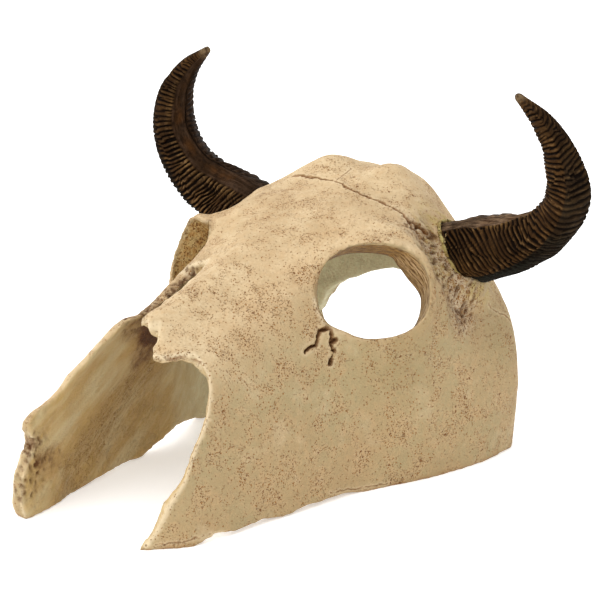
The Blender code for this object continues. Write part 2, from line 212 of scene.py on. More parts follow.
# Local shifts as (place, reach, move), to bring the casting to its worn shape.
SHIFTS = (
    ((-26, -42, 57), 17, (0, -0.5, 2.9)),
    ((-27, -60, 46), 18, (0, -0.3, 2.1)),
    ((-29, -82, 31), 15, (0, -1.4, 1.9)),
    ((-27, -42, 57), 10, (0, 0, 1.0)),
    ((-27, -52, 52), 9, (0, -0.3, 1.0)),
    ((-23, -19, 67), 8, (0, 0, -1.0)),
    ((-28, -71, 3), 15, (2.0, -0.8, 0)),
    ((-33, -50, 2), 18, (1.2, -1.0, 0)),
    ((-29, -84, 2), 11, (1.5, -2.0, 0)),
    ((-43, 8, 7), 14, (0, 0, 0.8)),
    ((62, 84, 42), 24, (0.8, 0, 0)),
    ((40, -52, 4), 13, (0, 0, -1.7)),
    ((43, -26, 2), 12, (0, 0, 0.9)),
    ((29, -68, 28), 15, (-0.2, -1.0, 0)),
    ((28, -75, 18), 9, (-0.6, -1.6, 0)),
    ((27, -78, 14), 12, (-1.1, -2.0, 0)),
    ((18, -60, 59.8), 12, (0, 4.0, 1.8)),
    ((-1.5, -57, 69), 5, (0.4, 2.4, -0.4)),
    ((5, -60, 67), 5, (0.8, 0.9, -2.6)),
    ((9.5, -61.5, 64), 4.5, (0.2, 0.2, -1.6)),
    ((3.5, -54.8, 67.3), 3.6, (0, 0, -2.8)),
    ((-2.5, -54.5, 66.8), 2.5, (0.4, 0, 1.3)),
    ((0.3, -54.3, 67.2), 3, (0, 0, -1.7)),
    ((9, -59, 63), 3.0, (-0.6, -0.6, 0)),
    ((12, 71, 103.5), 13, (0.5, 0, 2.0)),
    ((-20, 62, 103), 22, (0, 0, 1.5)),
    ((38, 63, 95), 14, (-0.5, 0, -0.3)),
    ((-42, 30, 91), 20, (0, 0, -5.8)),
    ((-34, 87, 38), 10, (-3.2, 0, 0)),
    ((-36, 90, 36), 6, (-1.6, 0, 0)),
    ((-38.5, 91, 33.5), 6, (-0.6, 0, 0)),
    ((-33, 88, 42), 4.5, (0, 0, 1.0)),
    ((-27, 88, 47), 12, (-0.5, 0, 1.7)),
    ((3, 87, 60), 10, (0, 0, 0.8)),
    ((-29, 87, 44), 8, (-1.5, 0, 0.5)),
    ((47.5, 35.5, 77), 11, (-2.8, -2.2, 0)),
    ((41, 4, 60), 8, (0, 0, 1.2)),
    ((61, 91, 0), 9, (-1.5, -0.3, 0)),
    ((-29.5, 90.5, 45), 4, (0, 0, 0.9)),
    ((-34.3, 90.4, 40.4), 3.5, (-0.7, 0, 0.7)),
    ((-38, 90, 37.5), 4.5, (0, 0, -1.6)),
    ((-14, 88, 55), 14, (0, 0, -0.5)),
    ((1.5, -54.5, 68.5), 3.2, (-0.5, -0.6, -0.3)),
)

random_table = np.random.RandomState(5).uniform(-1, 1, 4096)


def hashed(cell, seed):
    """A fixed random number from -1 to 1 for each whole-numbered place."""
    code = cell[..., 0] * 73856093 ^ cell[..., 1] * 19349663 ^ cell[..., 2] * 83492791 ^ seed * 2654435
    return random_table[(code ^ code >> 13) & 4095]


def lumps(points, size, seed):
    """Smooth lumps of about the given size, from -1 to 1."""
    place = points / size + 0.37 * seed
    cell = np.floor(place).astype(np.int64)
    part = place - cell
    ease = part * part * (3 - 2 * part)
    total = np.zeros(len(points))
    for corner in itertools.product((0, 1), repeat=3):
        share = np.where(np.array(corner), ease, 1 - ease).prod(axis=1)
        total += share * hashed(cell + np.array(corner), seed)
    return total


def pits(points, size, seed):
    """Distance to the nearest of many scattered places, as a share of their spacing."""
    place = points / size
    cell = np.floor(place).astype(np.int64)
    nearest = np.full(len(points), 9.0)
    for corner in itertools.product((-1, 0, 1), repeat=3):
        near = cell + np.array(corner)
        spot = np.stack([hashed(near, seed + k) for k in range(3)], axis=1) * 0.5 + 0.5
        nearest = np.minimum(nearest, np.linalg.norm(near + spot - place, axis=1))
    return nearest


def fade(value, low, high):
    """From 0 at low to 1 at high, with soft ends."""
    share = np.clip((value - low) / (high - low), 0, 1)
    return share * share * (3 - 2 * share)


def bell(value, middle, width):
    """1 at the middle, falling off softly to both sides."""
    return np.exp(-(((value - middle) / width) ** 2))


def near_place(points, place, reach, core):
    """1 in the core of a place's reach, fading to 0 at its end."""
    return 1 - fade(np.linalg.norm(points - np.array(place), axis=1), core * reach, reach)


def line_distance(points, line, margin=12):
    """Distance from each point to a line through the given places, or 1000 far from it."""
    corners = np.array(line, float)
    near = ((points > corners.min(axis=0) - margin) & (points < corners.max(axis=0) + margin)).all(axis=1)
    close = points[near]
    best = np.full(len(close), 1e3)
    for start, end in zip(corners, corners[1:]):
        run = end - start
        share = np.clip((close - start) @ run / max(run @ run, 1e-9), 0, 1)
        best = np.minimum(best, np.linalg.norm(close - start - share[:, None] * run, axis=1))
    distance = np.full(len(points), 1e3)
    distance[near] = best
    return distance


LINE_STEP = 0.8


def stepped(start, end, step):
    """Places along a straight line, at most a step apart."""
    steps = max(1, math.ceil((end - start).length / step))
    return [start.lerp(end, i / steps) for i in range(steps + 1)]


def snapped(tree, line):
    """The line in short steps, each moved to the nearest place of the tree."""
    places = []
    for start, end in zip(map(Vector, line), map(Vector, line[1:])):
        places += [tree.find(place)[0] for place in stepped(start, end, LINE_STEP)]
    return [tuple(place) for place in places]


def mesh_points(mesh):
    """A mesh's vertices in millimetres and their normals."""
    places = np.empty(len(mesh.vertices) * 3)
    mesh.vertices.foreach_get("co", places)
    normals = np.empty(len(mesh.vertices) * 3)
    mesh.vertices.foreach_get("normal", normals)
    return places.reshape(-1, 3) / MM, normals.reshape(-1, 3)


def set_points(mesh, points):
    """Move a mesh's vertices to these places, given in millimetres."""
    mesh.vertices.foreach_set("co", (points * MM).ravel())
    mesh.update()


def store(mesh, name, values):
    """Keep one number for each vertex, for a material to read."""
    layer = mesh.attributes.new(name, "FLOAT", "POINT")
    layer.data.foreach_set("value", np.asarray(values, float))


def piece(name, mesh, paint):
    """A new painted object for a mesh, shaded smooth, that rides with the skull."""
    made = placed(name, mesh)
    mesh.shade_smooth()
    mesh.materials.clear()
    mesh.materials.append(paint)
    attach(made, "root")
    return made


def applied(made, name):
    """The object's mesh with its modifiers worked in."""
    shaped = bpy.data.meshes.new_from_object(made.evaluated_get(bpy.context.evaluated_depsgraph_get()))
    shaped.name = name
    return shaped


def socket_place(points):
    """Each point's place round the near eye: past the hole's edge, its turn, its height, and the way
    to the edge."""
    local = points - np.array(EYE_CENTRE)
    length = Vector((0, 0, 1)).cross(EYE_NORMAL).normalized()
    height = EYE_NORMAL.cross(length)
    u, v = local @ np.array(length), local @ np.array(height)
    out = local @ np.array(EYE_NORMAL)
    run = np.where(out < 0, out, 0) / EYE_BORE.dot(EYE_NORMAL)
    u, v = u - run * EYE_BORE.dot(length), v - run * EYE_BORE.dot(height)
    ring = (np.abs(u / EYE_HALF[0]) ** EYE_SQUARE + np.abs(v / EYE_HALF[1]) ** EYE_SQUARE) ** (1 / EYE_SQUARE)
    beyond = (ring - 1) * sum(EYE_HALF) / 2
    turn = np.arctan2(v, u)
    across = u[:, None] * np.array(length) + v[:, None] * np.array(height)
    return beyond, turn, out, across * (1 / np.maximum(ring, 0.01) - 1)[:, None]


# The CAD casting's sharp edges, and its outside on its own.
JOINED = 1e-6  # metres
FACES_OUT = 0.35
cad_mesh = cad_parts["skull_shell"].data
bm = bmesh.new()
bm.from_mesh(cad_mesh)
bmesh.ops.remove_doubles(bm, verts=bm.verts, dist=JOINED)
sharp_places = []
for edge in bm.edges:
    if edge.is_manifold and edge.calc_face_angle() > SHARP_ANGLE:
        sharp_places += stepped(edge.verts[0].co / MM, edge.verts[1].co / MM, 1)
outside = bmesh.new()
outside.from_mesh(cad_mesh)
facing_in = []
for face in outside.faces:
    middle = face.calc_center_median() / MM
    outwards = middle - Vector((0, min(max(middle.y, HOLLOW_ENDS[0]), HOLLOW_ENDS[1]), HOLLOW_HEIGHT))
    if face.normal.dot(outwards) < FACES_OUT * outwards.length:
        facing_in.append(face)
bmesh.ops.delete(outside, geom=facing_in, context="FACES")
outside_tree = BVHTree.FromBMesh(outside)
outside.free()
casting_mesh = mesh_of(bm, "casting")


def is_break(place):
    """Whether a sharp edge belongs to the broken nose."""
    return place.y < 0 and place.z > 6 or place.y < -60 and place.z > 1.5


def near_seat(place):
    """Whether a place lies on the stub that a horn is glued to."""
    return (Vector((abs(place.x), place.y, place.z)) - HORN_BASE).length < SEAT_REACH


def is_worn(place):
    """Whether a sharp edge belongs to the rounded upper edge of the far side."""
    return place.x < -14 and place.y < -8 and place.z > 29


sharp_places = [place for place in sharp_places if not near_seat(place)]
break_places = [place for place in sharp_places if is_break(place)]
sharp_places = [place for place in sharp_places if not is_worn(place)]


def tree_of(places):
    """A search tree of places."""
    tree = KDTree(len(places))
    for i, place in enumerate(places):
        tree.insert(place, i)
    tree.balance()
    return tree


sharp_tree, break_tree = tree_of(sharp_places), tree_of(break_places)

casting = placed("casting", casting_mesh)
remesh = casting.modifiers.new("Remesh", "REMESH")
remesh.mode = "VOXEL"
remesh.voxel_size = VOXEL * MM
bm = bmesh.new()
bm.from_mesh(applied(casting, "casting"))
bpy.data.objects.remove(casting)


def relaxed(bm, verts, count):
    """Smooth these vertices a number of times."""
    for i in range(count):
        bmesh.ops.smooth_vert(bm, verts=verts, factor=0.5, use_axis_x=True, use_axis_y=True, use_axis_z=True)


# How far from a sharp edge the softening starts, and where round the eye it reaches: out from the
# hole's edge, and the middle and half length of its wall.
EDGE_KEPT = 2.0
EYE_SOFT, EYE_WALL, EYE_WALL_HALF = 6, -6, 14
soft = [vert for vert in bm.verts if sharp_tree.find(vert.co / MM)[2] > EDGE_KEPT]
seat = [vert for vert in bm.verts if near_seat(vert.co / MM) and abs(vert.co.x) > SEAT_FROM * MM]
relaxed(bm, bm.verts, 2)
relaxed(bm, soft, 24)
relaxed(bm, seat, 60)
points = np.array([(abs(vert.co.x), vert.co.y, vert.co.z) for vert in bm.verts]) / MM
beyond, turn, out, to_edge = socket_place(points)
by_eye = (np.abs(beyond) < EYE_SOFT) & (np.abs(out - EYE_WALL) < EYE_WALL_HALF)
relaxed(bm, [vert for vert, near in zip(bm.verts, by_eye) if near], 10)

# The mesh is made finer along the cracks before they are sunk in.
CRACK_MARGINS = (2.2, 1.6)
for margin in CRACK_MARGINS:
    bm.verts.ensure_lookup_table()
    points = np.array([vert.co for vert in bm.verts]) / MM
    close = np.zeros(len(points), bool)
    for half_width, depth, line in CRACKS:
        close |= line_distance(points, line) < margin
    fine = [edge for edge in bm.edges if close[edge.verts[0].index] and close[edge.verts[1].index]]
    bmesh.ops.subdivide_edges(bm, edges=fine, cuts=1, use_grid_fill=True)
bmesh.ops.triangulate(bm, faces=bm.faces)
bm.to_mesh(casting_mesh)
bm.free()

# The stub that a horn is glued to: its directions, its half sizes, and where along them it ends.
HORN_AXIS = Vector((13, 0.5, 3.3)).normalized()
HORN_UP = Vector((0, 0.342, 0.94))
SEAT_AXIS = np.array(HORN_AXIS)
SEAT_UP = np.array((HORN_UP - HORN_AXIS * HORN_UP.dot(HORN_AXIS)).normalized())
SEAT_BACK = np.cross(SEAT_UP, SEAT_AXIS)
SEAT_HALF = (12.0, 10.5)
SEAT_SQUARE = 2.6
SEAT_TILT = 0.45
SEAT_END = 1.35
SEAT_SIDE = 30
CAD_SEAT_END = 3.4


def seat_place(points):
    """Each point's place at a horn: along it, from 0 inside to 1 on its skin, how high, and across it."""
    local = points - np.array(HORN_BASE)
    along, high, deep = local @ SEAT_AXIS, local @ SEAT_UP, local @ SEAT_BACK
    skin = np.abs(high / SEAT_HALF[0]) ** SEAT_SQUARE + np.abs(deep / SEAT_HALF[1]) ** SEAT_SQUARE
    return along, skin ** (1 / SEAT_SQUARE), high, high[:, None] * SEAT_UP + deep[:, None] * SEAT_BACK


def inside_share(points, normals):
    """1 where the surface faces the hollow inside, 0 where it faces outwards."""
    axis = np.zeros_like(points)
    axis[:, 1] = np.clip(points[:, 1], *HOLLOW_ENDS)
    axis[:, 2] = HOLLOW_HEIGHT
    return fade((normals * (axis - points)).sum(axis=1), -2, 6)


points, normals = mesh_points(casting_mesh)
side = np.where(points[:, :1] < 0, (-1.0, 1.0, 1.0), (1.0, 1.0, 1.0))
inner = inside_share(points, normals)
edge_distance = np.array([break_tree.find(place)[2] for place in points])
at_break = 1 - fade(edge_distance, 0.4, 3.5)
store(casting_mesh, "lining", inner)
store(casting_mesh, "broken", 1 - fade(edge_distance, 0.4, 1.7))

# The near side's front edge is thinned from the inside.
thinned = (points[:, 0] > 20) & (points[:, 1] < -12) & (points[:, 2] < 66)
depth = np.zeros(len(points))
depth[thinned] = [outside_tree.find_nearest(Vector(place) * MM)[3] / MM for place in points[thinned]]
taper = (1 - fade(edge_distance, 5, 10)) * (1 - fade(points[:, 2], 54, 64)) * fade(points[:, 2], 1, 7)
points[:, 1] += depth * taper * 0.95

# The eye's wall is brought to a smooth round.
SOCKET_END = -19
SOCKET_RADIUS = 19
mirrored = points * side
beyond, turn, out, to_edge = socket_place(mirrored)
beside = mirrored[:, 0] > 8
in_wall = beside * (1 - fade(np.abs(beyond), 1.2, 2.8)) * (1 - fade(out, -1.2, 0.2))
in_wall *= fade(out, SOCKET_END, -16)
points += to_edge * in_wall[:, None] * side
mirrored = points * side
socket = beside * (out > SOCKET_END) * (1 - fade(out, -1.6, -0.4)) * (1 - fade(np.abs(beyond), 1.1, 2.1))
store(casting_mesh, "socket", socket)
store(casting_mesh, "socket_turn", turn * SOCKET_RADIUS)
store(casting_mesh, "socket_depth", out)

# Where the stains (partly painted shade), the painted shade of darker tan and the brown band on the far
# side's inside lie. The band is measured from a slanted line through a place on the side (y, z), onwards in
# the given direction.
BAND_START = (-84, 25)
BAND_ONWARDS = (0.588, -0.809)
place_tree = tree_of(mirrored)
folds = [(half_width, height, snapped(place_tree, line)) for half_width, height, line in FOLDS]
valley = bell(line_distance(mirrored, folds[1][2]), 0, 6.5) * (1 - inner)
store(casting_mesh, "valley", valley)
stain_and_shade, painted_shade = np.zeros((2, len(points)))
for place, reach, strength in STAINS_AND_SHADE:
    stain_and_shade = np.maximum(stain_and_shade, strength * near_place(points, place, reach, 0.35))
for place, reach, strength in PAINTED_SHADE_PLACES:
    painted_shade = np.maximum(painted_shade, strength * near_place(points, place, reach, 0))
# On the far side the stains lie only inside and at the break, where they are partly painted shade.
store(casting_mesh, "stain_and_shade", stain_and_shade * np.where(points[:, 0] < 0, np.maximum(inner, at_break), 1))
store(casting_mesh, "painted_shade", painted_shade)
below = (points[:, 1:] - BAND_START) @ BAND_ONWARDS
band = inner * (points[:, 0] < -15) * fade(below, 12, 23) * (1 - 0.6 * fade(below, 30, 42))
store(casting_mesh, "band", band * fade(points[:, 1], -80, -62) * (1 - fade(points[:, 1], -20, 4)))
far_top = bell(line_distance(points, FAR_TOP), 0, 5)
far_end = bell(line_distance(points, FAR_END), 0, 5.5)
store(casting_mesh, "wash", np.maximum(0.7 * far_top, 0.35 * far_end))

# The surface is swollen, folded, pitted and worn, then brought to its shape.
push = (1 - inner) * (0.34 * lumps(points, 15, 1) + 0.14 * lumps(points, 6, 2) + 0.06 * lumps(points, 2.6, 3))
push += inner * (0.3 * lumps(points, 11, 4) + 0.06 * lumps(points * (1, 1, 0.3), 2.2, 5))
push += at_break * (0.25 * lumps(points, 2.4, 6) + 0.3 * lumps(points, 5, 7))
for half_width, height, line in folds:
    push += (1 - inner) * height * bell(line_distance(mirrored, line), 0, half_width)
push += (np.abs(out) < 8) * (1 - inner) * 0.45 * bell(beyond, 0.3, 1.1)
hollow = valley * (1 - fade(pits(points, 2.1, 60), 0.2, 0.5))
hollow = np.maximum(hollow, 1.5 * far_top * (1 - fade(pits(points * (1, 1.3, 1), 2.8, 70), 0.25, 0.5)))
hollow = np.maximum(hollow, far_end * (1 - fade(pits(points, 2.6, 80), 0.2, 0.45)))
store(casting_mesh, "hollow", np.clip(1.7 * hollow, 0, 1))
push -= 0.8 * hollow + far_end * 1.1 * lumps(points, 3.6, 81) + far_top * 0.6 * lumps(points, 3.0, 82)
points = points + normals * push[:, None]
for place, reach, move in SHIFTS:
    points += near_place(points, place, reach, 0.15)[:, None] * np.array(move)

# Round each horn the bone draws in to the horn's skin, lower down further out than on top.
mirrored = points * side
by_horn = mirrored[:, 0] > SEAT_SIDE
along, skin, high, across = seat_place(mirrored)
drawn_out = by_horn * fade(along, -6, CAD_SEAT_END) * fade(skin, 0.5, 0.9) * (1 - fade(skin, 1.3, 2.0))
mirrored += (drawn_out * np.maximum(SEAT_END - SEAT_TILT * high - CAD_SEAT_END, 0))[:, None] * SEAT_AXIS
along, skin, high, across = seat_place(mirrored)
past = along - (SEAT_END - SEAT_TILT * high)
limit = 0.94 + 0.09 * fade(-past, -0.3, 0.3) + 0.5 * fade(-past, 0.2, 9)
drawn_in = by_horn * fade(along, -9, -5) * (1 - fade(skin, 1.35, 1.9))
mirrored -= across * (drawn_in * (1 - np.minimum(1, limit / np.maximum(skin, 0.01))))[:, None]
mirrored -= (by_horn * (skin < 1.1) * np.maximum(past + 0.4, 0))[:, None] * SEAT_AXIS
points = mirrored * side
store(casting_mesh, "gluey", by_horn * (skin < 2) * bell(past, 0, 3.2))

# The cracks are sunk in, with a pale rim along them.
line_tree = tree_of(points)
wander = np.stack([lumps(points, 2.0, 20 + k) for k in range(3)], axis=1) * 0.55
ragged = 1 + 0.5 * lumps(points, 3.1, 30) + 0.45 * lumps(points, 1.0, 31)
crack, lip, sink = np.zeros((3, len(points)))
kept = np.full(len(points), 0.5)
for half_width, depth, line in CRACKS:
    distance = line_distance(points + wander, snapped(line_tree, line))
    share = np.clip(1 - (distance / (half_width * ragged)) ** 2, 0, 1) * (1 - inner)
    sink = np.maximum(sink, depth * share)
    crack = np.maximum(crack, min(1.0, 0.45 + depth * 0.5) * np.sqrt(share))
    lip = np.maximum(lip, bell(distance, 1.5 * half_width, 0.5) * (1 - inner))
    kept[distance < half_width + 0.8] = 0
points += normals * (0.08 * lip - sink)[:, None]
store(casting_mesh, "crack", crack)
store(casting_mesh, "lip", lip)
set_points(casting_mesh, points)

casting = placed("casting", casting_mesh)
thinning = casting.vertex_groups.new(name="thinning")
for weight in (0.0, 0.5):
    thinning.add(np.flatnonzero(kept == weight).tolist(), weight, "REPLACE")
thin = casting.modifiers.new("Decimate", "DECIMATE")
thin.ratio = min(1.0, MAX_TRIANGLES / len(casting_mesh.polygons))
thin.vertex_group = "thinning"
skull_mesh = applied(casting, "skull")
bpy.data.objects.remove(casting)


def add(tree, kind, settings=None, **options):
    """A new shader node with its options and what goes into it."""
    node = tree.nodes.new("ShaderNode" + kind)
    for option, choice in options.items():
        setattr(node, option, choice)
    feed(node, settings or {})
    return node


def maths(operation, *values):
    """One step of arithmetic on numbers and sockets."""
    tree = next(value.id_data for value in values if isinstance(value, bpy.types.NodeSocket))
    return add(tree, "Math", dict(enumerate(values)), operation=operation).outputs[0]


def vector_maths(operation, settings):
    """One step of arithmetic on vectors, as the outputs of its node."""
    return add(settings[0].id_data, "VectorMath", settings, operation=operation).outputs


def times(first, second):
    """A product of two values."""
    return maths("MULTIPLY", first, second)


def most(first, *others):
    """The largest of several values."""
    for other in others:
        first = maths("MAXIMUM", first, other)
    return first


def split(vector):
    """The three parts of a vector."""
    return add(vector.id_data, "SeparateXYZ", {0: vector}).outputs


def combined(*parts):
    """A vector made of up to three numbers."""
    return add(parts[0].id_data, "CombineXYZ", dict(enumerate(parts))).outputs[0]


def mixed(share, first, second):
    """The first colour with a share of the second over it; each is a colour or a socket."""
    first, second = ((*paint, 1) if isinstance(paint, tuple) else paint for paint in (first, second))
    return add(share.id_data, "Mix", {0: share, 6: first, 7: second}, data_type="RGBA").outputs[2]


def coats(colour, layers):
    """A colour with coats of paint over it, each as (where it lies, how thick, its colour)."""
    for share, amount, paint in layers:
        colour = mixed(share if amount == 1 else times(share, amount), colour, paint)
    return colour


def attribute(tree, name):
    """The number stored on the mesh under this name."""
    return add(tree, "Attribute", label=name, attribute_name=name).outputs["Fac"]


def millimetres(tree):
    """The place on the piece, in millimetres."""
    place = add(tree, "TexCoord").outputs["Object"]
    return vector_maths("SCALE", {0: place, "Scale": 1 / MM})[0]


def group(name, numbers, results):
    """A new shader group that takes a place and numbers: its tree, its inputs and its output node."""
    made = bpy.data.node_groups.new(name, "ShaderNodeTree")
    made.interface.new_socket("Place", in_out="INPUT", socket_type="NodeSocketVector")
    for label, value in numbers.items():
        socket = made.interface.new_socket(label, in_out="INPUT", socket_type="NodeSocketFloat")
        socket.default_value = value
    for label in results:
        made.interface.new_socket(label, in_out="OUTPUT", socket_type="NodeSocketFloat")
    return made, made.nodes.new("NodeGroupInput").outputs, made.nodes.new("NodeGroupOutput")


def ranged(value, low, high):
    """A value spread from 0 at low to 1 at high; each end is a number or a socket."""
    settings = {"Value": value, "From Min": low, "From Max": high}
    return add(value.id_data, "MapRange", settings).outputs["Result"]


# Mottling: soft patches of about the given size, from 0 to 1 between two levels of a noise.
mottling, given, outlet = group("mottling", {"Size": 10.0, "Low": 0.4, "High": 0.6}, ("Mask",))
blots = add(mottling, "TexNoise", {
    "Vector": given["Place"],
    "Scale": maths("DIVIDE", 1.0, given["Size"]),
    "Detail": 3.0,
    "Roughness": 0.6,
})
feed(outlet, {"Mask": ranged(blots.outputs["Fac"], given["Low"], given["High"])})

# Pores: small round pits of several sizes, thick in some patches and sparse in others, each with a rim for a
# painted highlight.
PORE_WARP = 1.1
PORE_PATCH = (0.46, 0.61)
PORE_SHARE = 0.85
PORE_RADIUS, PORE_RADIUS_RANGE = 0.26, 0.22
PORE_SOFTNESS = 0.14
PORE_HIGHLIGHT_RIM = 0.2
pores, given, outlet = group(
    "pores", {"Size": 1.0, "Patch Size": 14.0, "Amount": 0.0}, ("Mask", "Highlight Rim", "Patch")
)
warp = add(pores, "TexNoise", {
    "Vector": given["Place"],
    "Scale": maths("DIVIDE", PORE_WARP, given["Size"]),
    "Detail": 1.0,
})
shift = vector_maths("SUBTRACT", {0: warp.outputs["Color"], 1: (0.5, 0.5, 0.5)})[0]
shift = vector_maths("SCALE", {0: shift, "Scale": times(given["Size"], PORE_WARP)})[0]
cells = add(pores, "TexVoronoi", {
    "Vector": vector_maths("ADD", {0: given["Place"], 1: shift})[0],
    "Scale": maths("DIVIDE", 1.0, given["Size"]),
}).outputs
kinds = add(pores, "SeparateColor", {0: cells["Color"]}).outputs
patches = add(pores, "TexNoise", {
    "Vector": given["Place"],
    "Scale": maths("DIVIDE", 1.0, given["Patch Size"]),
    "Detail": 4.0,
    "Roughness": 0.62,
})
spread = ranged(patches.outputs["Fac"], *PORE_PATCH)
share = maths("MULTIPLY_ADD", spread, PORE_SHARE, given["Amount"])
present = ranged(maths("SUBTRACT", share, kinds["Red"]), 0.0, 0.06)
radius = maths("MULTIPLY_ADD", kinds["Green"], PORE_RADIUS_RANGE, PORE_RADIUS)
pit = ranged(cells["Distance"], radius, maths("SUBTRACT", radius, PORE_SOFTNESS))
# The ring round each pit, which carries a painted highlight.
ring = ranged(cells["Distance"], maths("ADD", radius, PORE_HIGHLIGHT_RIM), radius)
ring = maths("SUBTRACT", ring, ranged(pit, 0.0, 0.4))
feed(outlet, {
    "Mask": times(present, pit),
    "Highlight Rim": times(present, maths("MAXIMUM", ring, 0.0)),
    "Patch": spread,
})


def mottle(place, size, low, high):
    """A mottling group in a material."""
    settings = {"Place": place, "Size": size, "Low": low, "High": high}
    return add(place.id_data, "Group", settings, node_tree=mottling).outputs["Mask"]


def pore_node(place, size, patch_size, amount):
    """The outputs of a pores group in a material; the amount is a number or a socket."""
    settings = {"Place": place, "Size": size, "Patch Size": patch_size, "Amount": amount}
    return add(place.id_data, "Group", settings, node_tree=pores).outputs


def finished(shader, colour, roughness, gloss, height, strength, distance):
    """Give a shader its colour, its sheen and small relief; the distance is in millimetres."""
    bump = add(height.id_data, "Bump", {"Strength": strength, "Distance": distance * MM, "Height": height})
    feed(shader, {
        "Base Color": colour,
        "Roughness": roughness,
        "Specular IOR Level": gloss,
        "Normal": bump.outputs["Normal"],
    })


# The cream of the lit top and the tan of the shaded sides: painted light and shade.
LIT_TOP_CREAM = (0.597, 0.455, 0.273)
SHADED_SIDE_TAN = (0.355, 0.278, 0.145)
WARM = (0.50, 0.325, 0.165)
SHADE_TAN = (0.25, 0.19, 0.088)
TAN = (0.35, 0.235, 0.115)
INNER_TAN = (0.43, 0.29, 0.108)
LINING = (0.66, 0.62, 0.415)
BAND = (0.25, 0.145, 0.042)
LILAC = (0.50, 0.38, 0.25)
SOIL_AND_SHADE_BROWN = (0.27, 0.13, 0.042)
SOCKET = (0.085, 0.030, 0.006)
SOCKET_LIGHT = (0.33, 0.165, 0.036)
WASH_AND_SHADE_BROWN = (0.085, 0.031, 0.008)
FINE_SPECK = (0.30, 0.125, 0.024)
SPECK = (0.17, 0.058, 0.010)
DARK = (0.022, 0.007, 0.002)
PALE = (0.67, 0.54, 0.35)
GLUED = (0.42, 0.32, 0.10)

# The streaks inside run along the wall, down to the snout.
STREAK_RUN = (0, 0.839, 0.545)
STREAK_ACROSS = (0, -0.545, 0.839)
STREAK_STRETCH = 4.0

bone, tree, shader = new_paint("bone_paint")
place = millimetres(tree)
spot = split(place)
facing = split(add(tree, "NewGeometry").outputs["Normal"])
lining, crack, broken, wash, stain_and_shade, valley_share, socket, band = (
    attribute(tree, name)
    for name in ("lining", "crack", "broken", "wash", "stain_and_shade", "valley", "socket", "band")
)
outer = maths("SUBTRACT", 1.0, lining)
far_socket = times(socket, ranged(spot["X"], 0, -10))

# Pores and their patches.
more = most(wash, valley_share, stain_and_shade, times(far_socket, 0.6))
fine_amount = maths("MULTIPLY_ADD", most(more, times(band, 0.5)), 0.6, 0.15)
fine = pore_node(place, 0.62, 9, fine_amount)
coarse = pore_node(place, 1.15, 9, maths("MULTIPLY_ADD", more, 1.3, -0.48))
bare = most(outer, times(band, 0.7), stain_and_shade, far_socket)
fine_pits = times(fine["Mask"], bare)
coarse_pits = times(coarse["Mask"], bare)
specks = most(times(fine_pits, 0.55), coarse_pits)
highlight_rims = most(fine["Highlight Rim"], coarse["Highlight Rim"])

# The outside: painted light and shade, tan on the sides and cream on top by the way the surface faces, and
# warm and pale patches.
grain = mottle(place, 1.0, 0.36, 0.68)
colour = mixed(ranged(facing["Z"], 0.25, 0.75), SHADED_SIDE_TAN, LIT_TOP_CREAM)
colour = coats(colour, (
    (mottle(place, 26, 0.45, 0.66), 0.55, TAN),
    (fine["Patch"], 0.5, WARM),
    (mottle(place, 3.0, 0.46, 0.66), 0.35, WARM),
    (mottle(place, 30, 0.42, 0.6), 0.2, WARM),
    (mottle(place, 11, 0.55, 0.72), 0.22, PALE),
    # Painted shade in a darker tan at the listed places.
    (attribute(tree, "painted_shade"), 1, SHADE_TAN),
    (grain, 0.3, TAN),
))

# The inside: streaked, darker towards the snout.
directions = ((1, 0, 0), [part / STREAK_STRETCH for part in STREAK_RUN], STREAK_ACROSS)
streaked = combined(*(
    vector_maths("DOT_PRODUCT", {0: place, 1: direction})["Value"] for direction in directions
))
banded = maths("MULTIPLY_ADD", mottle(streaked, 1.2, 0.42, 0.6), 0.35, 0.3)
inside = mixed(ranged(spot["Y"], 0, 55), INNER_TAN, LINING)
inside = coats(inside, (
    (mottle(streaked, 9, 0.42, 0.62), 0.4, LINING),
    (mottle(streaked, 3.6, 0.44, 0.66), 0.22, TAN),
    (times(band, banded), 1, BAND),
    (mottle(streaked, 0.8, 0.42, 0.62), 0.3, WARM),
))

# The eye's wall: browned, darker where it faces down as painted shade, with streaks round it on the near side
# and pits on the far side.
rounds = combined(times(attribute(tree, "socket_turn"), 0.16), attribute(tree, "socket_depth"))
# Painted shade: the downward-facing upper part of the wall takes the darker brown.
shaded_overhang = maths("MULTIPLY_ADD", ranged(facing["Z"], 0.1, -0.7), 0.6, 0.4)
browned = coats(mixed(shaded_overhang, PALE, SOCKET_LIGHT), (
    (mottle(rounds, 2.4, 0.38, 0.6), 0.7, BAND),
    (mottle(rounds, 0.55, 0.44, 0.6), 1, SOCKET),
    (far_socket, 0.85, mixed(mottle(place, 2.2, 0.4, 0.62), INNER_TAN, SOCKET_LIGHT)),
))

